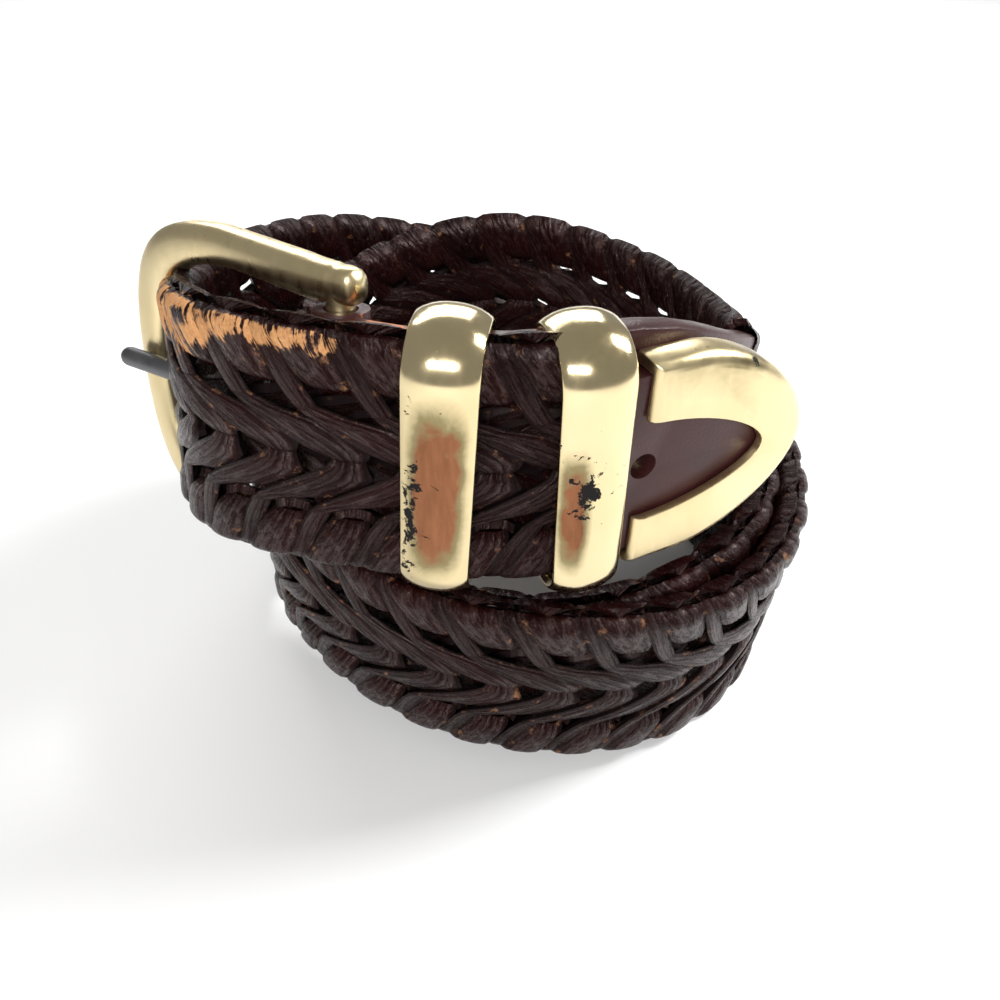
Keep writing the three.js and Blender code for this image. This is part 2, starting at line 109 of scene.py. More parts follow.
# %% Smooth value of one column, and how it changes per degree
def course(angle, column):
    x, y = COURSE[:, 0], COURSE[:, column]
    step = np.diff(x)
    slope = np.diff(y) / step
    tangent = np.empty(len(x))
    tangent[0], tangent[-1] = slope[0], slope[-1]
    tangent[1:-1] = (slope[1:] * step[:-1] + slope[:-1] * step[1:]) / (step[:-1] + step[1:])
    i = np.clip(np.searchsorted(x, angle, side="right") - 1, 0, len(x) - 2)
    span = step[i]
    t = (angle - x[i]) / span
    a, b, ma, mb = y[i], y[i + 1], tangent[i] * span, tangent[i + 1] * span
    value = (1 + 2 * t) * (1 - t) ** 2 * a + t * (1 - t) ** 2 * ma
    value = value + t * t * (3 - 2 * t) * b + t * t * (t - 1) * mb
    change = (6 * t * t - 6 * t) * (a - b) + (1 - t) * (1 - 3 * t) * ma + t * (3 * t - 2) * mb
    return value, change / span


# %% Middle of the strap at an angle, the directions along, up and out, and mm per radian
def coil_frame(angle):
    angle = np.atleast_1d(np.asarray(angle, float))
    radius, radius_change = course(angle, 1)
    layer, layer_change = course(angle, 2)
    height, height_change = course(angle, 3)
    lean = np.radians(course(angle, 4)[0])[:, None]
    layer_step = STRAP_THICKNESS + TURN_GAP
    r = COIL_RADIUS * radius + layer_step * layer
    r_change = np.degrees(COIL_RADIUS * radius_change + layer_step * layer_change)
    z_change = np.degrees(STRAP_WIDTH * height_change)
    a = np.radians(angle)
    zero = np.zeros_like(a)
    ray = np.stack([np.cos(a), np.sin(a), zero], 1)
    turn = np.stack([-np.sin(a), np.cos(a), zero], 1)
    along = turn * r[:, None] + ray * r_change[:, None] + np.stack([zero, zero, z_change], 1)
    speed = np.linalg.norm(along, axis=1)
    along = along / speed[:, None]
    level = np.stack([along[:, 1], -along[:, 0], zero], 1)
    level = level / np.linalg.norm(level, axis=1)[:, None]
    upright = np.cross(level, along)
    up = upright * np.cos(lean) + level * np.sin(lean)
    out = np.cross(along, up)
    middle = ray * r[:, None]
    middle[:, 2] = STRAP_WIDTH * (height + upright[:, 2] * np.cos(lean[:, 0]) / 2) - STANDING_FLAT
    return middle, along, up, out, speed


# %% Distance along the strap for every half degree
ANGLE_STEP = 0.5
FIRST_ANGLE = COURSE[0, 0]
table_angles = np.arange(FIRST_ANGLE, COURSE[-1, 0] + ANGLE_STEP / 2, ANGLE_STEP)
step_lengths = coil_frame(table_angles[:-1] + ANGLE_STEP / 2)[4] * math.radians(ANGLE_STEP)
table_distances = np.concatenate([[0.0], np.cumsum(step_lengths)])


def angle_at(distance):
    end_slope = ANGLE_STEP / step_lengths[-1]
    angle = np.interp(distance, table_distances, table_angles)
    return angle + np.maximum(0, distance - table_distances[-1]) * end_slope


def distance_at(angle):
    return np.interp(angle, table_angles, table_distances)


def lay_in_roll(distance, across, height):
    middle, _, up, out, _ = coil_frame(angle_at(distance))
    place = middle + up * (across - STRAP_WIDTH / 2)[:, None] + out * height[:, None]
    place[:, 0] += ROLL_SHIFT[0]
    place[:, 1] += ROLL_SHIFT[1]
    place[:, 2] = np.maximum(place[:, 2], LOWEST_POINT)
    return place * MM


tip_leather_start = distance_at(STRAP_END_ANGLE) - CAP_LENGTH - TIP_LEATHER_UNDER_KEEPER
braid_start = TAB_LENGTH + CLEARANCE
braid_end = tip_leather_start - END_JOINT_GAP
print("strap from bar to tip", round(float(table_distances[-1])), "mm")

# %% [markdown]
# ## Helpers for meshes and materials
# Every new mesh ends with its object at the origin, so that patterns on Object
# coordinates stay where they are. Vertices are read and written as NumPy arrays, because
# a loop over a hundred thousand of them is slow. Node trees are easier to read when one
# line adds a node, sets its values and links its inputs.


# %% Object helpers
def clear_selection():
    if bpy.context.mode != "OBJECT":
        bpy.ops.object.mode_set(mode="OBJECT")
    bpy.ops.object.select_all(action="DESELECT")


def make_active(piece):
    clear_selection()
    piece.select_set(True)
    bpy.context.view_layer.objects.active = piece
    return piece


def settle(piece):
    make_active(piece)
    bpy.ops.object.transform_apply(location=True, rotation=True, scale=True)
    return piece


def apply_modifier(piece, kind, **values):
    make_active(piece)
    modifier = piece.modifiers.new(kind.lower(), kind)
    for name, value in values.items():
        setattr(modifier, name, value)
    bpy.ops.object.modifier_apply(modifier=modifier.name)


def edit_all(piece):
    make_active(piece)
    bpy.ops.object.mode_set(mode="EDIT")
    bpy.ops.mesh.select_all(action="SELECT")


def turn_faces_out(piece, seam=0.0):
    edit_all(piece)
    if seam:
        bpy.ops.mesh.remove_doubles(threshold=seam)
    bpy.ops.mesh.normals_make_consistent(inside=False)
    bpy.ops.object.mode_set(mode="OBJECT")


def smooth_below(piece, degrees):
    make_active(piece)
    bpy.ops.object.shade_smooth_by_angle(angle=math.radians(degrees))


# %% Vertex helpers: places, painted attributes, and the shapes of worn spots
def read_places(mesh):
    co = np.empty(len(mesh.vertices) * 3)
    mesh.vertices.foreach_get("co", co)
    return co.reshape(-1, 3)


def write_places(mesh, co):
    mesh.vertices.foreach_set("co", co.ravel())


def paint(mesh, label, values):
    mesh.attributes.new(label, "FLOAT", "POINT").data.foreach_set("value", values)


def spot(place, middle, spread, power=2):
    return np.exp(-((place - middle) / spread) ** power)


def fade_in(place, start, over):
    return np.clip((place - start) / over, 0, 1)


# %% Node helpers
def new_material(name):
    material = bpy.data.materials.new(name)
    material.use_nodes = True
    tree = material.node_tree
    return material, tree, tree.nodes["Principled BSDF"]


def add_node(tree, kind, values=None, links=None, **settings):
    node = tree.nodes.new(kind)
    for name, value in settings.items():
        setattr(node, name, value)
    for name, value in (values or {}).items():
        node.inputs[name].default_value = value
    for name, socket in (links or {}).items():
        tree.links.new(socket, node.inputs[name])
    return node


def ramp(tree, factor, stops):
    node = add_node(tree, "ShaderNodeValToRGB", links={"Fac": factor})
    elements = node.color_ramp.elements
    while len(elements) < len(stops):
        elements.new(0.5)
    for element, (position, colour) in zip(elements, stops):
        element.position = position
        element.color = (*colour, 1) if len(colour) == 3 else (colour[0],) * 3 + (1,)
    return node.outputs["Color"]


def mix_colour(tree, factor, a, b, blend="MIX"):
    node = add_node(tree, "ShaderNodeMix", data_type="RGBA", blend_type=blend)
    for index, value in ((0, factor), (6, a), (7, b)):
        if isinstance(value, bpy.types.NodeSocket):
            tree.links.new(value, node.inputs[index])
        else:
            node.inputs[index].default_value = (*value, 1) if isinstance(value, tuple) else value
    return node.outputs[2]


def maths(tree, operation, a, b=0.0):
    node = add_node(tree, "ShaderNodeMath", operation=operation)
    for index, value in ((0, a), (1, b)):
        if isinstance(value, bpy.types.NodeSocket):
            tree.links.new(value, node.inputs[index])
        else:
            node.inputs[index].default_value = value
    return node.outputs[0]


def scaled(tree, value, factor):
    return maths(tree, "MULTIPLY", value, factor)


def added(tree, *values):
    total = values[0]
    for value in values[1:]:
        total = maths(tree, "ADD", total, value)
    return total


def swing(tree, value, strength):
    return scaled(tree, maths(tree, "SUBTRACT", value, 0.5), strength)


def threshold(tree, factor, low, high):
    return ramp(tree, factor, [(low, (0.0,)), (high, (1.0,))])


def attribute(tree, label):
    return add_node(tree, "ShaderNodeAttribute", attribute_name=label).outputs["Fac"]


def noise(tree, vector, scale, detail=3.0, roughness=0.55, distortion=0.0):
    return add_node(
        tree, "ShaderNodeTexNoise",
        {"Scale": scale, "Detail": detail, "Roughness": roughness, "Distortion": distortion},
        {"Vector": vector},
    ).outputs["Fac"]


def stretched(tree, vector, scale):
    node = add_node(tree, "ShaderNodeMapping", {"Scale": scale}, {"Vector": vector})
    return node.outputs["Vector"]


def bump(tree, height, strength, distance, normal=None):
    links = {"Height": height}
    if normal:
        links["Normal"] = normal
    return add_node(
        tree, "ShaderNodeBump", {"Strength": strength, "Distance": distance}, links
    ).outputs["Normal"]


# %% [markdown]
# ## Braided leather
# Real braiding leather is dyed strip, nearly black with red-brown in it. Its grain runs
# in fine wrinkles along each strand, its cut sides are darker, and it is worn through to
# tan where it rubs. An image texture would need a photo, so noise does it: stretched
# along the strand for wrinkles, speckled for the rough sides, and a painted attribute
# says where the wear is.

# %% Colours of the braiding leather
STRAND_DARK = (0.0022, 0.0009, 0.0011)
STRAND_RED = (0.024, 0.0044, 0.0042)
CUT_SIDE = (0.012, 0.009, 0.009)
EDGE_FLECK = (0.32, 0.15, 0.075)
TAN_DEEP = (0.42, 0.16, 0.06)
TAN_PALE = (0.80, 0.45, 0.20)
POLISH_TINT = (1.0, 0.8, 0.76, 1)
SMOOTHEST = 0.17  # roughness of the most handled places


# %% Leather material for the strands
def strand_leather(name):
    material, tree, shader = new_material(name)
    objects = add_node(tree, "ShaderNodeTexCoord").outputs["Object"]
    strand = add_node(tree, "ShaderNodeUVMap", uv_map="strand").outputs["UV"]
    tone, worn, side = (attribute(tree, label) for label in ("tone", "worn", "side"))
    broad = noise(tree, objects, 260, 4, 0.6)
    fine = noise(tree, objects, 2600, 3, 0.65)
    wrinkles = noise(tree, stretched(tree, strand, (9, 7, 1)), 1.0, 5, 0.62, 1.2)
    # Each strand has its own tone, and painted shade darkens the colour in the grooves of its
    # wrinkles.
    amount = added(tree, scaled(tree, broad, 0.75), scaled(tree, tone, 0.35))
    colour = mix_colour(tree, amount, STRAND_DARK, STRAND_RED)
    painted_groove_shade = ramp(tree, wrinkles, [(0.3, (0.4,)), (0.62, (1.0,))])
    colour = mix_colour(tree, 0.7, colour, painted_groove_shade, "MULTIPLY")
    # The cut sides are dull, and the corners beside them have lost flecks of dye.
    edge = threshold(tree, side, 0.72, 0.97)
    colour = mix_colour(tree, scaled(tree, edge, 0.75), colour, CUT_SIDE)
    corner = ramp(tree, side, [(0.5, (0.0,)), (0.8, (1.0,)), (0.95, (0.3,))])
    flecks = threshold(tree, noise(tree, objects, 420, 5, 0.7), 0.58, 0.68)
    fleck = maths(tree, "MULTIPLY", scaled(tree, corner, 0.85), flecks)
    colour = mix_colour(tree, fleck, colour, EDGE_FLECK)
    # The painted wear is broken up along the strand before it shows as tan.
    streaks = noise(tree, stretched(tree, strand, (9, 1.6, 1)), 1.0, 5, 0.65, 0.4)
    patch = added(tree, worn, swing(tree, broad, 1.8), swing(tree, streaks, 2.0))
    patch = maths(tree, "MULTIPLY", patch, threshold(tree, worn, 0.05, 0.3))
    patch = threshold(tree, patch, 0.5, 0.62)
    colour = mix_colour(tree, patch, colour, mix_colour(tree, fine, TAN_DEEP, TAN_PALE))
    tree.links.new(colour, shader.inputs["Base Color"])
    handled = noise(tree, objects, 700, 3, 0.6)
    gloss = ramp(tree, handled, [(0.3, (SMOOTHEST,)), (0.75, (SMOOTHEST + 0.2,))])
    rough = mix_colour(tree, patch, gloss, (0.75, 0.75, 0.75))
    tree.links.new(rough, shader.inputs["Roughness"])
    # Only the raised wrinkles are polished, so the grooves and sides stay dark.
    polish = ramp(tree, wrinkles, [(0.42, (0.07,)), (0.68, (0.6,))])
    inner = maths(tree, "SUBTRACT", 1.0, scaled(tree, edge, 0.85))
    polish = maths(tree, "MULTIPLY", polish, inner)
    tree.links.new(polish, shader.inputs["Specular IOR Level"])
    shader.inputs["Specular Tint"].default_value = POLISH_TINT
    normal = bump(tree, wrinkles, 0.9, 0.0006)
    normal = bump(tree, fine, 0.35, 0.00012, normal)
    tree.links.new(normal, shader.inputs["Normal"])
    return material


outer_leather = strand_leather("braiding leather")

# %% [markdown]
# ## The braid
# The strap is a V-weave: on each half a broad strand comes round the edge and dives into
# the first row of holes, and a second one shows as a sliver between the broad ones, then
# spreads below the hole and runs to the middle, where the two halves meet at a third row
# of holes. A picture of a weave on a flat band would look painted on from the side, so
# each strand is modelled: a grid is laid over its two edges, folded round the strap's
# edge, thickened, and repeated once for every pitch.

# %% Weave sizes and the two strands' outlines
PITCH = 8.75
STRAND_THICKNESS = 1.15
EDGE_TURN = 2.0
ROW_FACES = 6  # faces from one side of a strand to the other
CROWDING = 0.9  # below 1, the grid's rows lie wider apart at the folded edge
EDGE_INSET = 0.6  # share of the puff that also rounds the strap's edge
STRAND_REACH = 26.0  # how far one strand runs along the strap
END_PHASE = 7.0  # from the last pitch's start to the braid's end
# Columns: distance from the strap's edge, left side, right side, height at each side.
EDGE_STRAND = np.array([
    (0.0, -4.0, 4.0, 1.75, 1.6),
    (2.5, -1.9, 4.6, 1.72, 1.62),
    (5.0, -0.6, 5.85, 1.68, 1.55),
    (6.3, 0.3, 6.4, 1.35, 1.25),
    (7.0, 0.95, 6.55, 0.75, 0.7),
    (7.5, 1.6, 6.4, -0.2, -0.2),
])
INNER_STRAND = np.array([
    (0.0, 2.95, 5.85, 1.25, 1.2),
    (3.5, 4.8, 7.7, 1.5, 1.3),
    (7.0, 6.5, 9.6, 1.65, 1.35),
    (9.3, 8.0, 10.9, 1.75, 1.4),
    (10.1, 8.9, 12.2, 1.8, 1.3),
    (10.7, 9.8, 18.8, 1.84, 1.2),
    (12.0, 12.0, 21.1, 1.88, 1.2),
    (13.9, 15.3, 24.4, 1.85, 1.25),
    (14.9, 17.2, 25.2, 1.7, 1.3),
    (15.8, 19.1, 24.7, 1.35, 1.2),
    (17.0, 20.2, 23.9, 0.4, 0.4),
])


# %% Shape one strand from a flat grid
def shape_strand(name, outline, middle_shift, steps, puff):
    clear_selection()
    bpy.ops.mesh.primitive_grid_add(x_subdivisions=ROW_FACES, y_subdivisions=steps, size=2)
    strand = bpy.context.object
    strand.name = name
    reach = outline[-1, 0]
    turn_length = math.pi / 2 * EDGE_TURN
    total = reach - EDGE_TURN + turn_length
    mesh = strand.data
    co = read_places(mesh)
    u = co[:, 0]
    v = np.sign(co[:, 1]) * np.abs(co[:, 1]) ** CROWDING
    run = v * total
    from_edge = np.abs(run) - turn_length
    round_edge = from_edge < 0
    bend = np.clip(np.abs(run) / EDGE_TURN, 0, math.pi / 2)
    depth = np.where(round_edge, EDGE_TURN - EDGE_TURN * np.cos(bend), from_edge + EDGE_TURN)
    left = np.interp(depth, outline[:, 0], outline[:, 1])
    right = np.interp(depth, outline[:, 0], outline[:, 2])
    rise = np.interp(depth, outline[:, 0], outline[:, 3]) * (1 - u) / 2
    rise = rise + np.interp(depth, outline[:, 0], outline[:, 4]) * (1 + u) / 2
    shape = np.where(round_edge, np.sin(bend), 1.0)
    crown = puff * (1 - u ** 4)
    along = (left + right) / 2 + u * (right - left) / 2
    along = np.where(run < 0, 2 * middle_shift - along, along)
    out = np.sign(run) * (rise - puff / 2 + crown) * shape
    inset = np.where(round_edge, EDGE_INSET * (crown - puff) * np.cos(bend), 0)
    write_places(mesh, np.stack([along, depth - inset, out], 1))
    mesh.uv_layers[0].name = "strand"
    paint(mesh, "side", np.abs(u))
    mesh.update()
    print(name, "grid", len(mesh.polygons), "faces")
    return strand


# %% Cut a flat piece off square: side 1 takes away what lies beyond, -1 what lies before
def trim(piece, distance, side):
    edit_all(piece)
    bpy.ops.mesh.bisect(
        plane_co=(distance, 0, 0), plane_no=(side, 0, 0), use_fill=True, clear_outer=True
    )
    bpy.ops.object.mode_set(mode="OBJECT")


# %% Where the strands are worn through to tan
# Columns: angle round the roll, spread, power, height on the strap, fade, amount.
WORN_PLACES = ((936, 19, 4, 22, 8, 0.72), (962, 9, 2, 27, 5, 0.5))


def strand_wear(distance, across, height):
    angle = angle_at(distance)
    wear = np.zeros(len(angle))
    for middle, spread, power, start, over, amount in WORN_PLACES:
        wear += amount * spot(angle, middle, spread, power) * fade_in(across, start, over)
    return wear * (height > 0.2)


# %% Thicken, repeat along the strap, trim, and lay in the roll
LIFT_SPREAD = 0.05
SWAY_SPREAD = 0.12


def weave(strand, name, upper, first, count):
    piece = strand.copy()
    piece.data = strand.data.copy()
    piece.name = name
    bpy.context.collection.objects.link(piece)
    apply_modifier(piece, "SOLIDIFY", thickness=STRAND_THICKNESS, offset=-1)
    apply_modifier(
        piece, "ARRAY", count=count, use_relative_offset=False,
        use_constant_offset=True, constant_offset_displace=(PITCH, 0, 0),
    )
    mesh = piece.data
    co = read_places(mesh)
    number = np.arange(len(co)) // (len(co) // count)
    rng = np.random.default_rng(len(name))
    tone = rng.random(count)[number]
    lift = rng.normal(0, LIFT_SPREAD, count)[number]
    sway = rng.normal(0, SWAY_SPREAD, count)[number]
    co[:, 0] += first + sway
    co[:, 2] += np.sign(co[:, 2]) * np.abs(lift)
    write_places(mesh, co)
    paint(mesh, "tone", tone)
    trim(piece, braid_end, 1)
    trim(piece, braid_start, -1)
    distance, across, height = read_places(mesh).T
    across = STRAP_WIDTH - across if upper else across
    write_places(mesh, lay_in_roll(distance, across, height))
    paint(mesh, "worn", strand_wear(distance, across, height))
    mesh.materials.append(outer_leather)
    turn_faces_out(piece)
    smooth_below(piece, 65)
    print(name, len(mesh.polygons), "faces")
    return piece


# %% Weave the strap
edge_strand = shape_strand("edge strand", EDGE_STRAND, 0.0, 26, 0.85)
inner_strand = shape_strand("inner strand", INNER_STRAND, PITCH / 2, 30, 0.4)
before_end = math.ceil((braid_end - END_PHASE - braid_start + STRAND_REACH) / PITCH)
first_strand = braid_end - END_PHASE - before_end * PITCH
strands = before_end + 3  # the last ones are trimmed away where they pass the end
braid = [
    weave(edge_strand, "upper_edge_strands", True, first_strand, strands),
    weave(inner_strand, "upper_inner_strands", True, first_strand, strands),
    weave(edge_strand, "lower_edge_strands", False, first_strand, strands),
    weave(inner_strand, "lower_inner_strands", False, first_strand, strands),
]
for template in (edge_strand, inner_strand):
    bpy.data.objects.remove(template)
for piece in braid:
    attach(piece, "root")
    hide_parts("braided_strap")

# %% [markdown]
# ## Plated metal
# The set is metal under a thin pale gold plating: nearly a mirror on the keepers, satin on
# the buckle and the tip, with black chips where the plating has gone and an olive-rimmed
# coppery patch where it is rubbed thin; on the keepers that patch is also a painted
# reflection of something brown in front of them. A metal shader on Object coordinates does
# it, and two attributes that are painted on each piece say where the rubbed patch, with its
# painted reflection, and the chips are.

# %% Colours of the plating
GOLD_DEEP = (0.70, 0.56, 0.30)
GOLD_PALE = (0.82, 0.70, 0.44)
# The olive and copper colours serve the rubbed plating and, on the keepers, a painted reflection.
TARNISH_AND_REFLECTION = (0.21, 0.17, 0.08)
COPPER_AND_REFLECTION_DEEP = (0.13, 0.05, 0.025)
COPPER_AND_REFLECTION_PALE = (0.36, 0.155, 0.075)
BARE_CHIP = (0.022, 0.02, 0.02)


# %% Gold plating
def plated_gold(name, polished, dull):
    material, tree, shader = new_material(name)
    objects = add_node(tree, "ShaderNodeTexCoord").outputs["Object"]
    rub_and_reflection, chippy = attribute(tree, "rub_and_reflection"), attribute(tree, "chippy")
    broad = noise(tree, objects, 90, 3, 0.5)
    streaks = noise(tree, stretched(tree, objects, (900, 900, 160)), 1.0, 3, 0.6)
    colour = mix_colour(tree, broad, GOLD_DEEP, GOLD_PALE)
    # The rubbed patch: an olive rim round a coppery middle; on the keepers it is also a painted
    # reflection of something brown in front of them.
    blotches = noise(tree, objects, 260, 5, 0.6, 0.3)
    thin_and_reflected = maths(tree, "MULTIPLY", rub_and_reflection, added(tree, scaled(tree, blotches, 1.6), 0.2))
    olive_and_reflected = threshold(tree, thin_and_reflected, 0.08, 0.4)
    copper_and_reflected = threshold(tree, thin_and_reflected, 0.42, 0.66)
    colour = mix_colour(tree, scaled(tree, olive_and_reflected, 0.9), colour, TARNISH_AND_REFLECTION)
    copper_and_reflected_tone = mix_colour(tree, streaks, COPPER_AND_REFLECTION_DEEP, COPPER_AND_REFLECTION_PALE)
    colour = mix_colour(tree, copper_and_reflected, colour, copper_and_reflected_tone)
    chips = noise(tree, objects, 430, 5, 0.7, 0.5)
    where = noise(tree, objects, 95, 2, 0.5)
    chipped = added(
        tree, scaled(tree, where, 0.4), scaled(tree, chips, 0.7), scaled(tree, chippy, 0.2)
    )
    chipped = threshold(tree, chipped, 0.705, 0.72)
    colour = mix_colour(tree, chipped, colour, BARE_CHIP)
    tree.links.new(colour, shader.inputs["Base Color"])
    shader.inputs["Metallic"].default_value = 1.0
    rough = ramp(tree, streaks, [(0.3, (polished,)), (0.7, (dull,))])
    rough = mix_colour(tree, scaled(tree, copper_and_reflected, 0.6), rough, (0.32, 0.32, 0.32))
    rough = mix_colour(tree, chipped, rough, (0.6, 0.6, 0.6))
    tree.links.new(rough, shader.inputs["Roughness"])
    normal = bump(tree, chipped, 0.5, -0.00008)
    normal = bump(tree, streaks, 0.06, 0.00005, normal)
    tree.links.new(normal, shader.inputs["Normal"])
    return material


gold = plated_gold("worn gold plating with painted reflection", 0.12, 0.2)
satin_gold = plated_gold("satin gold plating", 0.26, 0.38)

# %% Dark metal of the prong
dark_metal, tree, shader = new_material("dark prong metal")
objects = add_node(tree, "ShaderNodeTexCoord").outputs["Object"]
stain = noise(tree, objects, 300, 4, 0.6)
colour = mix_colour(tree, stain, (0.07, 0.07, 0.075), (0.2, 0.2, 0.21))
tree.links.new(colour, shader.inputs["Base Color"])
shader.inputs["Metallic"].default_value = 0.85
tree.links.new(ramp(tree, stain, [(0.3, (0.35,)), (0.7, (0.55,))]), shader.inputs["Roughness"])
tree.links.new(bump(tree, stain, 0.2, 0.0001), shader.inputs["Normal"])

# %% [markdown]
# ## Keepers
# A keeper is a flat metal band bent into a rectangle with round corners; its outer face
# is slightly domed across. It could be a bevelled box with a hole, but the dome would be
# missing. Here a grid is rolled round the rectangle, its open seam is merged, and the
# wall gets its thickness and rounded rims from modifiers.

# %% Sizes of the keepers, as in the solid model but for a deeper dome and rounder corners
KEEPER_BREADTH = 9.0
KEEPER_WALL = 1.4
KEEPER_PLAY = 2.2
KEEPER_INSIDE_DEPTH = 11.8
KEEPER_DEPTH = KEEPER_INSIDE_DEPTH + 2 * KEEPER_WALL
KEEPER_HEIGHT = STRAP_WIDTH + KEEPER_PLAY + 2 * KEEPER_WALL
KEEPER_CORNER = 6.4
KEEPER_DOME = 1.35
DOME_POWER = 2.4  # above 2, the band is flat in its middle and falls off near its rims
KEEPER_RIM_BEVEL = 0.4
KEEPER_TURNS_INWARD = 3 * 360  # from the free end to the tab under it
# Columns: name, angle of the free end there, turn about its axis, how far it hangs down.
KEEPERS = (("keeper_1", 981.0, -4.0, 0.4), ("keeper_2", 1001.0, 0.0, 0.9))


# %% A rectangle with round corners, by the share of its length gone round
def round_rectangle(share, half_wide, half_high, corner):
    flat_x, flat_y = half_wide - corner, half_high - corner
    arc = math.pi / 2 * corner
    lengths = [2 * flat_y, arc, 2 * flat_x, arc, 2 * flat_y, arc, 2 * flat_x, arc]
    ends = np.cumsum(lengths)
    run = np.mod(share, 1.0) * ends[-1]
    place = np.zeros((len(run), 2))
    normal = np.zeros((len(run), 2))
    for quarter in range(4):
        turn = quarter * math.pi / 2
        side = np.array([math.cos(turn), math.sin(turn)])
        onward = np.array([-side[1], side[0]])
        flat, deep = (flat_y, half_wide) if quarter % 2 == 0 else (flat_x, half_high)
        start = ends[2 * quarter] - lengths[2 * quarter]
        along = run - start
        here = (along >= 0) & (along < 2 * flat)
        place[here] = side * deep + onward * (along[here, None] - flat)
        normal[here] = side
        bend = (along - 2 * flat) / corner
        here = (bend >= 0) & (bend < math.pi / 2)
        tilt = bend[here, None]
        normal[here] = side * np.cos(tilt) + onward * np.sin(tilt)
        centre = side * (deep - corner) + onward * flat
        place[here] = centre + normal[here] * corner
    return place, normal


# %% The place of a keeper: midway between the tab and the free end
def keeper_matrix(angle, turn, drop):
    outer, inner = coil_frame(angle), coil_frame(angle - KEEPER_TURNS_INWARD)
    along = Vector(outer[1][0]) + Vector(inner[1][0])
    along.z = 0
    along.normalize()
    out = Vector((along.y, -along.x, 0))
    middle = (Vector(outer[0][0]) + Vector(inner[0][0])) / 2
    middle.z = float(outer[0][0][2]) - drop
    middle += Vector((*ROLL_SHIFT, 0))
    place = Matrix((along, Vector((0, 0, 1)), out)).transposed().to_4x4()
    place.translation = middle
    return place @ Matrix.Rotation(math.radians(turn), 4, "Z")


# %% Where a keeper is rubbed and chipped, with a painted reflection on the rubbed patch: x along the strap, y up, z out
def keeper_wear_and_reflection(name, co):
    x, y, front = co[:, 0], co[:, 1], fade_in(co[:, 2], 4.5, 2)
    # On both keepers the rubbed patch is partly worn plating and partly a painted reflection.
    if name == "keeper_1":
        rub_and_reflection = spot(x, 0.1, 3.0, 4) * spot(y, -0.5, 11, 4)
        chippy = spot(x, -3.2, 1.6) * np.clip(0.9 - y / 18, 0, 1)
    else:
        rub_and_reflection = 0.8 * spot(x, -2.5, 1.6, 4) * spot(y, -3, 8, 4)
        chippy = spot(x, -1, 2.2) * spot(y, 2, 6)
    return {"rub_and_reflection": front * rub_and_reflection, "chippy": front * chippy}


# %% Make a keeper
def make_keeper(name, angle, turn, drop):
    clear_selection()
    bpy.ops.mesh.primitive_grid_add(x_subdivisions=96, y_subdivisions=10, size=2)
    band = bpy.context.object
    band.name = name + "_band"
    mesh = band.data
    co = read_places(mesh)
    place, normal = round_rectangle(
        co[:, 0] / 2 + 0.5, KEEPER_DEPTH / 2, KEEPER_HEIGHT / 2, KEEPER_CORNER
    )
    dome = KEEPER_DOME * np.abs(co[:, 1]) ** DOME_POWER
    place = place - normal * dome[:, None]
    band_co = np.stack([co[:, 1] * KEEPER_BREADTH / 2, place[:, 1], place[:, 0]], 1)
    write_places(mesh, band_co)
    for label, values in keeper_wear_and_reflection(name, band_co).items():
        paint(mesh, label, values)
    turn_faces_out(band, seam=0.01)
    apply_modifier(band, "SOLIDIFY", thickness=KEEPER_WALL, offset=-1)
    apply_modifier(
        band, "BEVEL", width=KEEPER_RIM_BEVEL, segments=3, limit_method="ANGLE",
        angle_limit=math.radians(50),
    )
    mesh.transform(Matrix.Scale(MM, 4) @ keeper_matrix(angle, turn, drop))
    mesh.materials.append(gold)
    smooth_below(band, 50)
    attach(band, "root")
    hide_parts(name)
    print(band.name, len(mesh.polygons), "faces")


for keeper in KEEPERS:
    make_keeper(*keeper)

# %% [markdown]
# ## Buckle
# The frame is a horseshoe of rounded metal, closed by a bar that the tab is folded
# round. A bevelled curve would keep one thickness all the way, but the cast frame is
# broad at the crown and ends in two ringed knobs. So a grid becomes the skin of a bar
# with its own breadth at each place along it.

# %% Sizes of the buckle, as in the solid model
TAB_WIDTH = 31.5
BAR_DIAMETER = 3.6
FRAME_LENGTH = 41.6
FRAME_HALF_HEIGHT = 22.8
FRAME_RIM = 5.3
FRAME_THICKNESS = 4.6
BOSS_OVERHANG = 3.6
FRAME_AZIMUTH = math.radians(144)
FRAME_TILT = math.radians(5)
FRAME_LEAN = math.radians(10)
ARM_INSIDE = TAB_WIDTH / 2 + CLEARANCE
SECTION_POWER = 2.7  # 2 would be a round bar, higher is flatter with round corners
END_CROWDING = 0.045  # the grid's rows crowd to the knobs by this share


# %% One edge of the horseshoe as points: straight arms, then the round crown
def bezier(points, count=24):
    t = np.linspace(0, 1, count)[:, None]
    a, b, c, d = (np.array(p, float) for p in points)
    return (1 - t) ** 3 * a + 3 * t * (1 - t) ** 2 * b + 3 * t * t * (1 - t) * c + t ** 3 * d


def horseshoe(at_bar, widest, crown):
    wide, start = crown * 0.5, crown * 0.08
    lower = [
        np.linspace((-BOSS_OVERHANG, -at_bar), (start, -at_bar), 16),
        np.linspace((start, -at_bar), (wide, -widest), 24)[1:],
        bezier([(wide, -widest), (crown * 0.86, -widest), (crown, -widest * 0.8), (crown, 0)])[1:],
    ]
    lower = np.vstack(lower)
    upper = lower[::-1][1:] * (1, -1)
    return np.vstack([lower, upper])


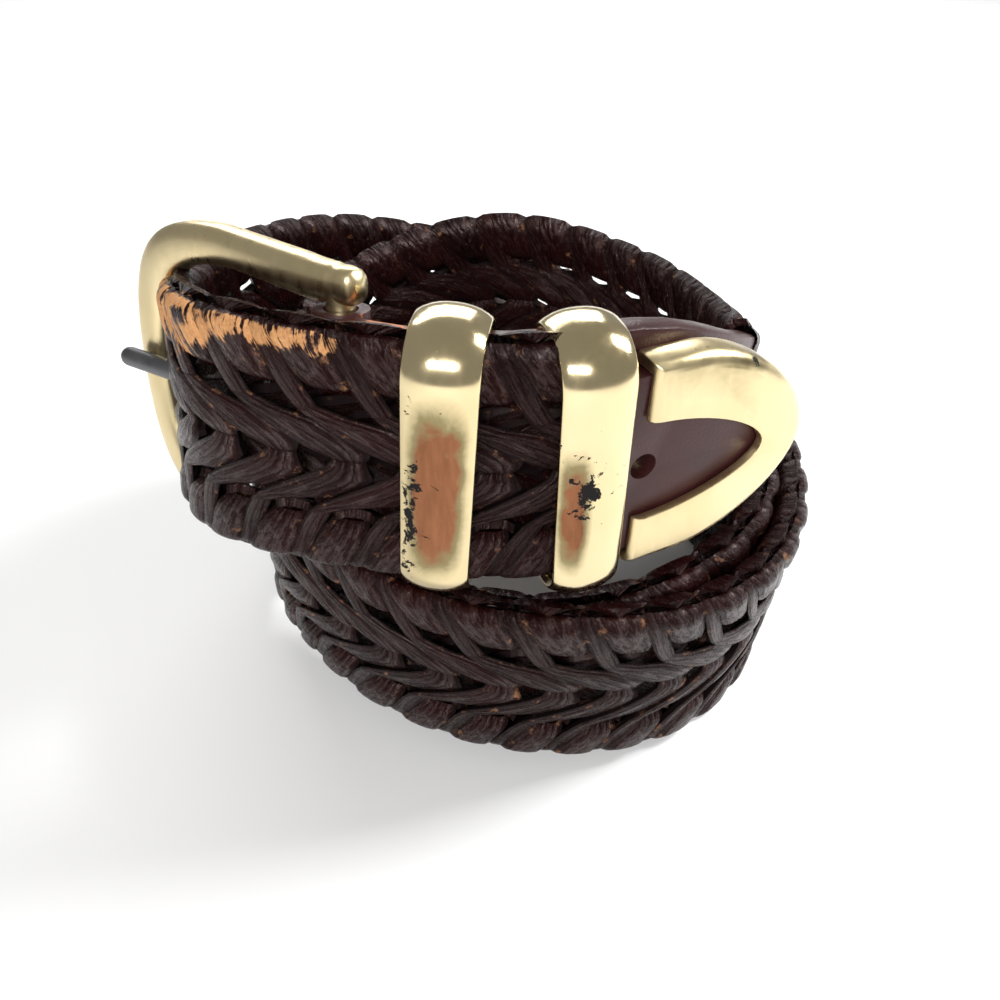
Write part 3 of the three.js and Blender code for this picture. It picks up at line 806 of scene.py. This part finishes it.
# %% The buckle's place
def buckle_matrix():
    bar_middle = Vector(coil_frame(FIRST_ANGLE)[0][0]) + Vector((*ROLL_SHIFT, 0))
    along = Vector((
        math.cos(FRAME_AZIMUTH) * math.cos(FRAME_TILT),
        math.sin(FRAME_AZIMUTH) * math.cos(FRAME_TILT),
        -math.sin(FRAME_TILT),
    ))
    upright = (Vector((0, 0, 1)) - along * along.z).normalized()
    level = upright.cross(along)
    up = upright * math.cos(FRAME_LEAN) - level * math.sin(FRAME_LEAN)
    place = Matrix((along, up, along.cross(up))).transposed().to_4x4()
    place.translation = bar_middle
    return place


# %% The frame's skin
outer_edge = horseshoe(ARM_INSIDE + FRAME_RIM, FRAME_HALF_HEIGHT, FRAME_LENGTH)
inner_edge = horseshoe(ARM_INSIDE, FRAME_HALF_HEIGHT - FRAME_RIM, FRAME_LENGTH - FRAME_RIM)
edge_middle = (outer_edge + inner_edge) / 2
edge_half = np.linalg.norm(outer_edge - inner_edge, axis=1) / 2
bar_run = np.concatenate([[0], np.cumsum(np.linalg.norm(np.diff(edge_middle, axis=0), axis=1))])
# Columns: distance from the knob's end, share of the frame's own breadth there.
KNOB = np.array([
    (0.0, 0.0), (0.12, 0.45), (0.5, 0.7), (1.1, 0.82), (2.2, 0.88), (2.9, 0.88), (3.2, 0.84),
    (3.5, 0.84), (3.8, 0.9), (4.8, 0.93), (5.1, 0.9), (5.4, 0.94), (9.0, 1.0),
])
clear_selection()
bpy.ops.mesh.primitive_grid_add(x_subdivisions=28, y_subdivisions=150, size=2)
buckle = bpy.context.object
buckle.name = "horseshoe_frame"
mesh = buckle.data
co = read_places(mesh)
length = bar_run[-1]
share = (co[:, 1] + 1) / 2
run = length * (share - END_CROWDING * np.sin(2 * math.pi * share))
round_bar = co[:, 0] * math.pi
from_end = np.minimum(run, length - run)
knob = np.interp(from_end, KNOB[:, 0], KNOB[:, 1])
edge_across = outer_edge - inner_edge
centre = np.stack([np.interp(run, bar_run, edge_middle[:, k]) for k in (0, 1)], 1)
outward = np.stack([np.interp(run, bar_run, edge_across[:, k]) for k in (0, 1)], 1)
outward = outward / np.linalg.norm(outward, axis=1)[:, None]
half = np.interp(run, bar_run, edge_half) * knob
cosine, sine = np.cos(round_bar), np.sin(round_bar)
swell = np.abs(cosine) ** SECTION_POWER + np.abs(sine) ** SECTION_POWER
swell = swell ** (-1 / SECTION_POWER)
flat = centre + outward * (half * cosine * swell)[:, None]
thick = FRAME_THICKNESS / 2 * knob * sine * swell
write_places(mesh, np.stack([flat[:, 0], flat[:, 1], thick], 1))
paint(mesh, "rub_and_reflection", 0.12 * spot(run, length * 0.7, 9))
paint(mesh, "chippy", np.full(len(co), -0.3))
turn_faces_out(buckle, seam=0.01)

# %% The bar, joined to the frame
clear_selection()
bpy.ops.mesh.primitive_cylinder_add(
    vertices=32, radius=BAR_DIAMETER / 2, depth=2 * ARM_INSIDE + FRAME_RIM,
    rotation=(math.pi / 2, 0, 0),
)
bar = bpy.context.object
settle(bar)
buckle.select_set(True)
bpy.context.view_layer.objects.active = buckle
bpy.ops.object.join()
buckle.data.transform(Matrix.Scale(MM, 4) @ buckle_matrix())
buckle.data.materials.append(satin_gold)
smooth_below(buckle, 50)
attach(buckle, "root")
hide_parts("buckle_frame")
print("horseshoe_frame", len(buckle.data.polygons), "faces")

# %% [markdown]
# ## Tip, prong and smooth leather
# The solids of these already have their real shapes, but their faces are loose and
# their edges knife sharp. A copy of each is merged, its flat regions are made single
# faces, and a small bevel gives the edges the highlight that cast metal and cut leather
# have.

# %% Smooth leather of the tab and the tip
smooth_leather, tree, shader = new_material("smooth leather")
objects = add_node(tree, "ShaderNodeTexCoord").outputs["Object"]
broad = noise(tree, objects, 150, 4, 0.6)
fine = noise(tree, objects, 2200, 3, 0.6)
grain = add_node(
    tree, "ShaderNodeTexVoronoi", {"Scale": 1500.0}, {"Vector": objects},
    feature="DISTANCE_TO_EDGE",
).outputs["Distance"]
worn = attribute(tree, "worn")
colour = mix_colour(tree, broad, (0.022, 0.0055, 0.006), (0.06, 0.017, 0.016))
patch = added(tree, worn, swing(tree, broad, 1.6), swing(tree, fine, 0.6))
patch = threshold(tree, patch, 0.55, 0.68)
colour = mix_colour(tree, patch, colour, (0.52, 0.16, 0.04))
tree.links.new(colour, shader.inputs["Base Color"])
tree.links.new(ramp(tree, broad, [(0.3, (0.3,)), (0.7, (0.46,))]), shader.inputs["Roughness"])
shader.inputs["Specular IOR Level"].default_value = 0.4
tree.links.new(bump(tree, grain, 0.3, 0.00015), shader.inputs["Normal"])


# %% Refine a copy of a solid
def refined_copy(node, name, material, bevel_mm, smooth_degrees, wear=None):
    piece = frame["nodes"][node].copy()
    piece.data = frame["nodes"][node].data.copy()
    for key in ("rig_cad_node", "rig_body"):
        if key in piece:
            del piece[key]
    piece.parent = None
    piece.name = name
    bpy.context.collection.objects.link(piece)
    edit_all(piece)
    bpy.ops.mesh.remove_doubles(threshold=1e-6)
    bpy.ops.mesh.customdata_custom_splitnormals_clear()
    bpy.ops.mesh.dissolve_limited(angle_limit=math.radians(0.8))
    bpy.ops.object.mode_set(mode="OBJECT")
    apply_modifier(
        piece, "BEVEL", width=bevel_mm * MM, segments=2, limit_method="ANGLE",
        angle_limit=math.radians(35),
    )
    if wear:
        for label, values in wear(read_places(piece.data) / MM).items():
            paint(piece.data, label, values)
    piece.data.materials.clear()
    piece.data.materials.append(material)
    smooth_below(piece, smooth_degrees)
    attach(piece, "root")
    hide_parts(node)
    print(name, len(piece.data.polygons), "faces")


# %% Wear of the copies, from places in the roll in millimetres
def tab_wear(co):
    spots = spot(co[:, 0], -12, 5) + 0.9 * spot(co[:, 0], 5.5, 3)
    return {"worn": 0.75 * spots * fade_in(co[:, 2], 70.5, 2.5)}


def no_wear(co):
    return {"worn": np.zeros(len(co))}


def cap_wear(co):
    band = spot(co[:, 2], 69.0, 1.3)
    return {"rub_and_reflection": 0.4 * band, "chippy": 0.5 * band - 0.25}


# %% Tab, tip and prong
refined_copy("buckle_tab", "folded_tab", smooth_leather, 0.25, 40, tab_wear)
refined_copy("tip_tab", "pointed_end", smooth_leather, 0.2, 40, no_wear)
refined_copy("tip_cap", "openwork_tip", satin_gold, 0.2, 40, cap_wear)
refined_copy("prong", "prong_pin", dark_metal, 0.1, 50)

# %% [markdown]
# ## Floor, light and camera
# The belt stands on a plain white surface. The photograph's light comes from the right,
# so a small window light does too; a wide card behind and one in front draw the long
# highlights on the metal. The world is weak, so that the inside of the roll stays dark.
# The camera looks down at 39 degrees from close by, as in the photograph.

# %% Floor
clear_selection()
bpy.ops.mesh.primitive_plane_add(size=6)
floor = bpy.context.object
floor.name = "floor"
floor_paint, tree, shader = new_material("white floor")
shader.inputs["Base Color"].default_value = (0.96, 0.96, 0.96, 1)
shader.inputs["Roughness"].default_value = 0.6
floor.data.materials.append(floor_paint)

# %% World and lights
world = bpy.data.worlds.new("studio")
bpy.context.scene.world = world
world.use_nodes = True
background = world.node_tree.nodes["Background"]
background.inputs["Color"].default_value = (1.0, 0.99, 0.97, 1)
background.inputs["Strength"].default_value = 0.3
LIGHT_TARGET = Vector((0, 0, 0.03))


def soft_light(name, place, size, power):
    light = bpy.data.lights.new(name, "AREA")
    light.shape = "RECTANGLE"
    light.size, light.size_y = size
    light.energy = power
    lamp = bpy.data.objects.new(name, light)
    bpy.context.collection.objects.link(lamp)
    lamp.location = place
    aim = LIGHT_TARGET - Vector(place)
    lamp.rotation_euler = aim.to_track_quat("-Z", "Y").to_euler()


soft_light("window", (0.5, 0.15, 0.46), (0.2, 0.3), 4.7)
soft_light("back card", (-0.1, 0.7, 0.42), (0.7, 0.25), 3.4)
soft_light("front card", (-0.1, -0.65, 0.5), (0.5, 0.12), 5.0)

# %% Camera
CAMERA_TARGET = Vector((-0.7 + ROLL_SHIFT[0], -15.6 + ROLL_SHIFT[1], 28.0)) * MM
CAMERA_DISTANCE = 146.3 * MM
CAMERA_ELEVATION = math.radians(39.06)
eye = bpy.data.cameras.new("camera")
eye.sensor_width = 36
eye.lens = 31.16
eye.clip_start = 0.005
camera = bpy.data.objects.new("camera", eye)
bpy.context.collection.objects.link(camera)
camera.location = CAMERA_TARGET + CAMERA_DISTANCE * Vector(
    (0, -math.cos(CAMERA_ELEVATION), math.sin(CAMERA_ELEVATION))
)
camera.rotation_euler = (math.pi / 2 - CAMERA_ELEVATION, 0, 0)
bpy.context.scene.camera = camera
bpy.context.scene.view_settings.view_transform = "Standard"
